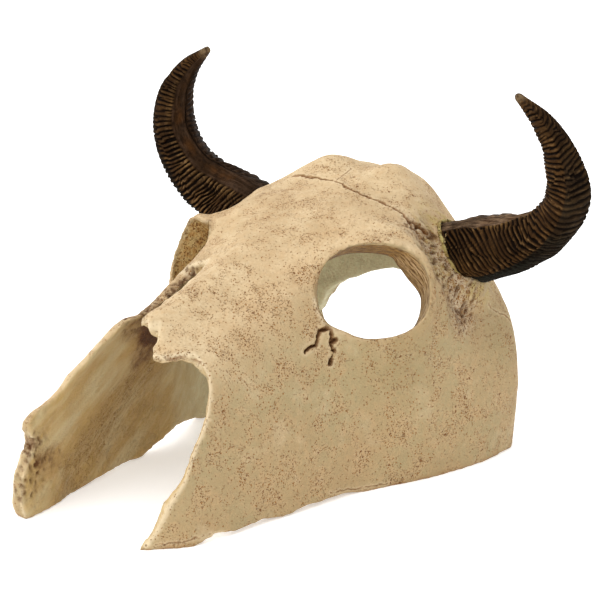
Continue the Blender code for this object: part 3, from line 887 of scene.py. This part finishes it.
# All the coats from the lining to the dark of the cracks.
soaked_stain_and_shade = maths("SUBTRACT", times(stain_and_shade, 1.7), mottle(place, 3.5, 0.3, 0.7))
foot = times(ranged(spot["Z"], 2.2, 0.3), mottle(place, 6, 0.38, 0.6))
colour = coats(colour, (
    (lining, 1, inside),
    (times(broken, maths("MULTIPLY_ADD", outer, 0.7, 0.3)), 0.85, PALE),
    (socket, 0.95, browned),
    (valley_share, 0.8, mixed(mottle(place, 2.2, 0.48, 0.6), LILAC, SOIL_AND_SHADE_BROWN)),
    (times(attribute(tree, "gluey"), mottle(place, 4.5, 0.42, 0.6)), 0.8, GLUED),
    # Brown stains, partly painted shade inside the far side.
    (ranged(stain_and_shade, 0.1, 1.0), 1, SOIL_AND_SHADE_BROWN),
    (ranged(soaked_stain_and_shade, 0.0, 1.1), 1, WASH_AND_SHADE_BROWN),
    (times(foot, outer), 0.6, SOIL_AND_SHADE_BROWN),
    (times(wash, mottle(place, 3.0, 0.40, 0.62)), 0.8, WASH_AND_SHADE_BROWN),
    # Painted highlight on the rims of the pits.
    (times(highlight_rims, outer), 0.25, PALE),
    (fine_pits, 0.95, mixed(lining, FINE_SPECK, SPECK)),
    (coarse_pits, 0.8, SPECK),
    (attribute(tree, "hollow"), 0.9, WASH_AND_SHADE_BROWN),
    (attribute(tree, "lip"), 0.25, PALE),
    (crack, 1, mixed(ranged(crack, 0.7, 1.1), SPECK, DARK)),
))
relief = maths("SUBTRACT", times(grain, -0.35), specks)
relief = maths("MULTIPLY_ADD", highlight_rims, 0.3, relief)
finished(shader, colour, maths("MULTIPLY_ADD", grain, 0.2, 0.55), 0.12, relief, 0.9, 0.4)

skull = piece("skull", skull_mesh, bone)
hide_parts("skull_shell")

# ------------------------------
# The horns: two solid castings with raised rings across them, a smooth inner face and a channel
# along it. They are painted near black and rubbed over with ochre brown, and glued to the seats.
# ------------------------------

HORN_LINE = ((47, 65, 78), (60, 65.5, 81.3), (74.5, 65.5, 86.3), (86.4, 65, 94.6), (93.2, 64, 107.3),
             (92, 63, 121), (84.8, 62.5, 132.2), (72.8, 62, 141.5))
HORN_HEIGHT = (12.0, 11.8, 10.8, 9.4, 8.8, 7.0, 4.4, 1.2)
HORN_DEPTH = (10.5, 9.8, 8.4, 7.2, 6.4, 5.2, 3.6, 1.1)
HORN_TWIST = math.radians(-20)
HORN_SQUARE = 2.9
HORN_RINGS = 560
HORN_SEGMENTS = 160
HORN_HIDDEN = 9.0  # length inside the bone
RIDGE_PITCH = 2.7
RIDGE_DEPTH = 1.0
# How far a ridge leans, from the base of the horn to its tip.
RIDGE_LEAN = ((0, 15, 35, 60, 90, 130), (0.8, 0.62, 0.45, 0.0, -0.4, -0.5))
# Where the smooth inner face ends, in degrees round the horn, from the base to the tip.
CORNER = {1: ((0, 25, 50, 130), (152, 148, 134, 132)), -1: ((0, 30, 50, 130), (168, 172, 177, 176))}
# How far behind that corner the channel and the slit lie, and how wide the channel is.
CHANNEL = {1: (17, 10), -1: (24, 13)}
SLIT = {1: 38, -1: 48}
# How high the bead on that corner is, how deep the ridges behind the slit, and how full the top is
# near the bone.
BEAD = {1: 0.1, -1: 0.6}
INNER_RIDGE = {1: 0.35, -1: 0.8}
LIFT = {1: 2.4, -1: 0.4}
# Where a horn is slimmer than its section, or fuller where the last number is below 0, as (face, how
# far along the horn, over what length, by how much).
SLIMMER = {
    1: (("inner", 52, 15, 1.4), ("low", 26, 18, 0.9), ("low", 60, 12, -1.9), ("low", 86, 16, 1.0)),
    -1: (("low", 30, 26, -1.9), ("low", 90, 20, 0.3), ("inner", 16, 12, -0.5), ("inner", 75, 25, -0.7)),
}
# How far the far horn's tip stands off its mirror image.
FAR_TIP = (-0.5, 0, 0.9)
NOISE_SEED = {1: 40, -1: 90}
SIDES = ((1, "left"), (-1, "right"))


def spline(line, share):
    """A smooth curve through all the places, with the share from 0 to 1."""
    spans = len(line) - 1
    index = min(int(share * spans), spans - 1)
    t = share * spans - index
    p1, p2 = line[index], line[index + 1]
    p0 = line[index - 1] if index > 0 else p1 * 2 - p2
    p3 = line[index + 2] if index + 2 <= spans else p2 * 2 - p1
    return (p1 * 2 + (p2 - p0) * t + (p0 * 2 - p1 * 5 + p2 * 4 - p3) * t**2
            + (p1 * 3 - p0 - p2 * 3 + p3) * t**3) / 2


def horn_frames(count):
    """Rows of middle, inward axis, backward axis, half sizes and length along the near horn."""
    line = [Vector(place) for place in HORN_LINE]
    spans = len(line) - 1
    steps = 4000
    middles = [spline(line, i / steps) for i in range(steps + 1)]
    lengths = np.concatenate(([0], np.cumsum([(b - a).length for a, b in zip(middles, middles[1:])])))
    c, s = math.cos(HORN_TWIST), math.sin(HORN_TWIST)
    rows = []
    for wanted in np.linspace(-HORN_HIDDEN, lengths[-1], count):
        share = float(np.interp(wanted, lengths, np.linspace(0, 1, steps + 1)))
        middle = spline(line, share)
        run = spline(line, min(share + 0.01, 1)) - spline(line, max(share - 0.01, 0))
        run.normalize()
        if wanted < 0:
            middle = middle + run * float(wanted)
        back = Vector((0, 1, 0))
        back = (back - run * back.dot(run)).normalized()
        inwards = run.cross(back).normalized()
        half_height = float(np.interp(share * spans, range(spans + 1), HORN_HEIGHT))
        half_depth = float(np.interp(share * spans, range(spans + 1), HORN_DEPTH))
        turned = (*(inwards * c - back * s), *(back * c + inwards * s))
        rows.append((*middle, *turned, half_height, half_depth, wanted))
    return np.array(rows)


def smooth_row(values, reach):
    """A row of numbers averaged over a reach to each side."""
    padded = np.concatenate((np.full(reach, values[0]), values, np.full(reach, values[-1])))
    return np.convolve(padded, np.ones(2 * reach + 1) / (2 * reach + 1), "valid")


horn_rows = horn_frames(HORN_RINGS)
row_length = horn_rows[:, 11]
from_tip = row_length[-1] - row_length
tip_round = np.sqrt(np.clip(1 - (1 - np.clip(from_tip / 1.8, 0, 1)) ** 2, 0.0004, 1))
row_height = smooth_row(horn_rows[:, 9], 20) * tip_round
row_depth = smooth_row(horn_rows[:, 10], 20) * tip_round


def face_outwards(mesh):
    """Turn a closed mesh's faces outwards."""
    bm = bmesh.new()
    bm.from_mesh(mesh)
    bmesh.ops.recalc_face_normals(bm, faces=bm.faces)
    bm.to_mesh(mesh)
    bm.free()


def horn_mesh(name, side):
    """A horn bent from a tube of rings, with its ridges, its channel and its slit."""
    bm = bmesh.new()
    bmesh.ops.create_cone(bm, cap_ends=True, segments=HORN_SEGMENTS, radius1=1, radius2=1, depth=1)
    lengthwise = [edge for edge in bm.edges if abs(edge.verts[0].co.z - edge.verts[1].co.z) > 0.5]
    bmesh.ops.subdivide_edges(bm, edges=lengthwise, cuts=HORN_RINGS - 2, use_grid_fill=False)
    mesh = mesh_of(bm, name)
    tube, _ = mesh_points(mesh)
    tube *= MM
    ring = np.round((tube[:, 2] + 0.5) * (HORN_RINGS - 1)).astype(int)
    angle = np.arctan2(tube[:, 1], tube[:, 0])
    degrees = np.degrees(angle) % 360  # 0 at the back, 90 on the inner face, 180 in front, 270 outside
    c, s = np.cos(angle), np.sin(angle)
    power = 2 / HORN_SQUARE
    u = np.sign(s) * np.abs(s) ** power
    v = np.sign(c) * np.abs(c) ** power
    length = row_length[ring]
    to_tip = from_tip[ring]
    size = row_height[ring] / row_height[0]
    skin = np.stack((c * 9 * (0.3 + 0.7 * size), s * 9 * (0.3 + 0.7 * size), length), axis=1)
    seed = NOISE_SEED[side]

    wander = 4 * lumps(skin * (0, 0, 1), 4, seed)
    turned = degrees + wander
    corner = np.interp(length, *CORNER[side])
    inner_face = fade(turned, 54, 64) * (1 - fade(turned, corner - 3, corner + 2))
    outer_edge = np.interp(length, (0, 18, 45), (252, 246, 226))
    outer_face = fade(turned, outer_edge - 4, outer_edge + 4) * (1 - fade(degrees, 318, 335))
    lean = np.interp(length, *RIDGE_LEAN)
    along = length + lean * u * row_height[ring]
    along = along - 0.05 * outer_face * np.clip(degrees - 225, 0, 90)
    pitch_count = along / RIDGE_PITCH + (np.clip(length, 0, 200) / 130) ** 2 * 14
    pitch_count += 0.05 * lumps(skin, 1.9, seed + 13)
    first = 2 * np.pi * (pitch_count + 0.85 * lumps(skin * (1, 1, 0.6), 7.0, seed + 1))
    second = 2 * np.pi * (pitch_count * 1.35 + 1.1 * lumps(skin * (1, 1, 0.6), 4.5, seed + 2))
    share = 0.9 + 1.2 * lumps(skin * (1, 1, 0.7), 5.0, seed + 3)
    wave_x = np.cos(first) + share * np.cos(second)
    wave_y = np.sin(first) + share * np.sin(second)
    wave = wave_x / np.maximum(np.hypot(wave_x, wave_y), 1e-6)
    tone = lumps(np.stack((pitch_count * 1.6, degrees * 0.025, 0 * length), axis=1), 1.0, seed + 12)
    floor_level = -0.45 - 0.3 * fade(length, 45, 75) + 0.45 * lumps(skin, 5.0, seed + 9)
    crest = fade(wave, floor_level - 0.1, floor_level + 0.6)
    fine = 0.5 + 0.5 * np.cos(2 * np.pi * (3.1 * pitch_count + 1.4 * lumps(skin, 3.0, seed + 4)))
    cuts = fade(lumps(skin * (1, 1, 0.4), 1.5, seed + 5), 0.3, 0.65)
    scratched = 0.3 * fade(lumps(skin, 6.0, seed + 11), -0.3, 0.4) + 0.4 * outer_face
    groove = np.clip((1 - crest) + scratched * fine + 0.4 * cuts, 0, 1.2)
    rubbing = 1 if side > 0 else 0.45 + 1.0 * (1 - fade(length, 25, 60))
    strength = 0.85 + 0.4 * lumps(skin, 7.0, seed + 6)
    strength = strength * (1 - 0.93 * inner_face) * (1 - 0.3 * outer_face) * fade(to_tip, 1.0, 12)
    groove = groove * strength
    drop = RIDGE_DEPTH * (0.4 + 0.6 * size) * groove * (1 + 0.3 * tone)
    drop += 0.2 * lumps(skin * (1, 1, 0.4), 2.0, seed + 7) * size
    drop += 0.4 * lumps(skin * (1, 1, 0.8), 6.0, seed + 8) * size

    middle_part = fade(length, 8, 24) * fade(to_tip, 8, 22)
    behind, width = CHANNEL[side]
    channel = bell(turned - corner, -behind, width) * middle_part
    slit = bell(turned + 0.6 * wander - corner, -SLIT[side], 2.6) * middle_part
    behind_slit = inner_face * (1 - fade(turned, corner - SLIT[side] - 8, corner - SLIT[side] - 2))
    inner_ridges = behind_slit * (0.5 + 0.5 * np.cos(first * 0.7))
    bead = bell(turned - corner, 4, 5) * middle_part
    drop += (0.5 * inner_face + 1.1 * channel + 0.9 * slit + INNER_RIDGE[side] * inner_ridges) * size
    drop -= BEAD[side] * bead * crest * size
    parts = {
        "inner": fade(degrees, 40, 90) * (1 - fade(degrees, 140, 190)),
        "low": fade(degrees, 215, 250) * (1 - fade(degrees, 300, 340)),
    }
    for part, middle, width, amount in SLIMMER[side]:
        drop += amount * parts[part] * bell(length, middle, width)
    drop -= LIFT[side] * bell(degrees, 75, 30) * fade(length, 3, 10) * (1 - fade(length, 20, 32))
    half_height = np.maximum(row_height[ring] - drop * tip_round[ring], 0.01)
    half_depth = np.maximum(row_depth[ring] - drop * tip_round[ring], 0.01)
    rows = horn_rows[ring]
    points = rows[:, 0:3] + rows[:, 3:6] * (u * half_height)[:, None]
    points += rows[:, 6:9] * (v * half_depth)[:, None]
    points[:, 0] *= side
    if side < 0:
        points += fade(length, 65, 115)[:, None] * np.array(FAR_TIP)
    set_points(mesh, points)
    touched = fade(wave, 0.45, 1.0) * (0.55 + 0.9 * tone + 0.4 * lumps(skin, 3.0, seed + 10)) * strength
    stored = {
        "groove": np.clip(groove + 0.5 * inner_ridges, 0, 1),
        "crest": np.clip((touched + bead * crest) * rubbing, 0, 1),
        "flank": 1 - fade(wave, -0.6, 0.6),
        "channel": channel,
        "slit": slit,
        "inner_face": inner_face,
        "outer_face": outer_face,
        "worn_top": inner_face * (1 - fade(length, 32, 55)) * (side > 0),
        "tip": 1 - fade(to_tip, 1, 6),
        "along": length,
        "round": np.where(degrees > 270, degrees - 360, degrees) * 0.15,
    }
    for label, values in stored.items():
        store(mesh, label, values)
    face_outwards(mesh)
    return mesh


HORN_DARK = (0.004, 0.002, 0.001)
HORN_SHADE = (0.017, 0.008, 0.003)
HORN_BROWN = (0.034, 0.0155, 0.0055)
HORN_OCHRE = (0.078, 0.037, 0.011)
HORN_RUBBED = (0.22, 0.125, 0.048)
HORN_MAUVE = (0.050, 0.028, 0.016)
HORN_WORN = (0.26, 0.165, 0.095)
HORN_RUST = (0.10, 0.038, 0.009)
HORN_GREEN = (0.013, 0.012, 0.008)
HORN_TIP = (0.22, 0.15, 0.08)

horn_paint, tree, shader = new_paint("horn_paint")
place = millimetres(tree)
crest, groove, channel, along = (attribute(tree, name) for name in ("crest", "groove", "channel", "along"))
lengthwise = combined(attribute(tree, "round"), times(along, 0.1))
worn = mixed(mottle(lengthwise, 0.7, 0.4, 0.62), HORN_MAUVE, HORN_WORN)
colour = mixed(mottle(place, 5, 0.42, 0.62), HORN_BROWN, HORN_OCHRE)
colour = coats(colour, (
    (attribute(tree, "flank"), 0.65, HORN_SHADE),
    (times(crest, mottle(place, 2.2, 0.38, 0.6)), 0.8, HORN_RUBBED),
    (attribute(tree, "inner_face"), 1,
     mixed(mottle(lengthwise, 1.0, 0.42, 0.62), HORN_SHADE, HORN_MAUVE)),
    (attribute(tree, "worn_top"), 0.9, worn),
    (channel, 0.4, HORN_SHADE),
    (times(channel, mottle(place, 9, 0.42, 0.62)), 0.4, HORN_RUST),
    (times(attribute(tree, "outer_face"), ranged(along, 100, 30)), 1, HORN_GREEN),
    (mottle(place, 11, 0.46, 0.62), 0.6, HORN_SHADE),
    (mottle(place, 2.5, 0.5, 0.66), 0.5, HORN_DARK),
    (ranged(groove, 0.2, 0.75), 1, HORN_DARK),
    (attribute(tree, "slit"), 1, HORN_DARK),
    (times(attribute(tree, "tip"), mottle(place, 2.5, 0.4, 0.6)), 0.8, HORN_TIP),
))
finished(shader, colour, 0.5, 0.02, mottle(place, 0.8, 0.3, 0.7), 0.7, 0.3)

for side, word in SIDES:
    horn = piece("horn_" + word + "_cast", horn_mesh("horn_" + word + "_cast", side), horn_paint)
    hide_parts("horn_" + word)

# ------------------------------
# The glue: a crust of yellowed resin glue pressed out round the base of each horn, with crumbs
# of brown paint in it.
# ------------------------------

GLUE_STEPS = 150
GLUE_SIDES = 20
GLUE_LOOP = 10  # radius of the loop that is bent into the ring
GLUE_SIZE = 0.55


def glue_mesh(name, side):
    """A ragged ring that follows the joint of a horn and its seat."""
    bm = bmesh.new()
    turned = Matrix.Translation((GLUE_LOOP, 0, 0)) @ Matrix.Rotation(math.pi / 2, 4, "X")
    start = bmesh.ops.create_circle(bm, segments=GLUE_SIDES, radius=1, matrix=turned)["verts"]
    bmesh.ops.spin(bm, geom=start + bm.edges[:], cent=(0, 0, 0), axis=(0, 0, 1), dvec=(0, 0, 0),
                   angle=2 * math.pi, steps=GLUE_STEPS, use_merge=True)
    mesh = mesh_of(bm, name)
    tube, _ = mesh_points(mesh)
    tube *= MM
    angle = np.arctan2(tube[:, 1], tube[:, 0])
    outwards = np.hypot(tube[:, 0], tube[:, 1]) - GLUE_LOOP
    endwards = tube[:, 2]
    c, s = np.cos(angle), np.sin(angle)
    skin = np.abs(s / SEAT_HALF[0]) ** HORN_SQUARE + np.abs(c / SEAT_HALF[1]) ** HORN_SQUARE
    skin = skin ** (-1 / HORN_SQUARE)
    loop = np.stack((c * 12, s * 12, 0 * c), axis=1)
    seed = 120 if side > 0 else 140
    ragged = 1 + 0.6 * lumps(loop, 3.0, seed) + 0.45 * lumps(loop + tube * (0, 0, 2), 1.1, seed + 1)
    ragged = GLUE_SIZE * np.maximum(ragged, 0.35)
    radius = skin + 0.1 + outwards * ragged
    along = SEAT_END - 0.3 - SEAT_TILT * (s * skin) + 0.7 * lumps(loop, 4.0, seed + 2)
    along += endwards * ragged * 1.3
    points = np.array(HORN_BASE) + SEAT_AXIS * along[:, None]
    points += SEAT_UP * (s * radius)[:, None] + SEAT_BACK * (c * radius)[:, None]
    points += 0.3 * np.stack([lumps(points, 1.1, seed + 3 + k) for k in range(3)], axis=1)
    points[:, 0] *= side
    set_points(mesh, points)
    face_outwards(mesh)
    return mesh


GLUE_YELLOW = (0.23, 0.15, 0.045)
GLUE_PALE = (0.42, 0.34, 0.13)
GLUE_CRUMB = (0.035, 0.018, 0.008)

glue_paint, tree, shader = new_paint("yellowed_glue")
place = millimetres(tree)
colour = mixed(mottle(place, 3, 0.42, 0.6), GLUE_YELLOW, GLUE_PALE)
colour = mixed(pore_node(place, 0.9, 5, 0.3)["Mask"], colour, GLUE_CRUMB)
finished(shader, colour, 0.6, 0.1, mottle(place, 0.9, 0.3, 0.7), 0.8, 0.4)

for side, word in SIDES:
    glue = piece("glue_" + word, glue_mesh("glue_" + word, side), glue_paint)
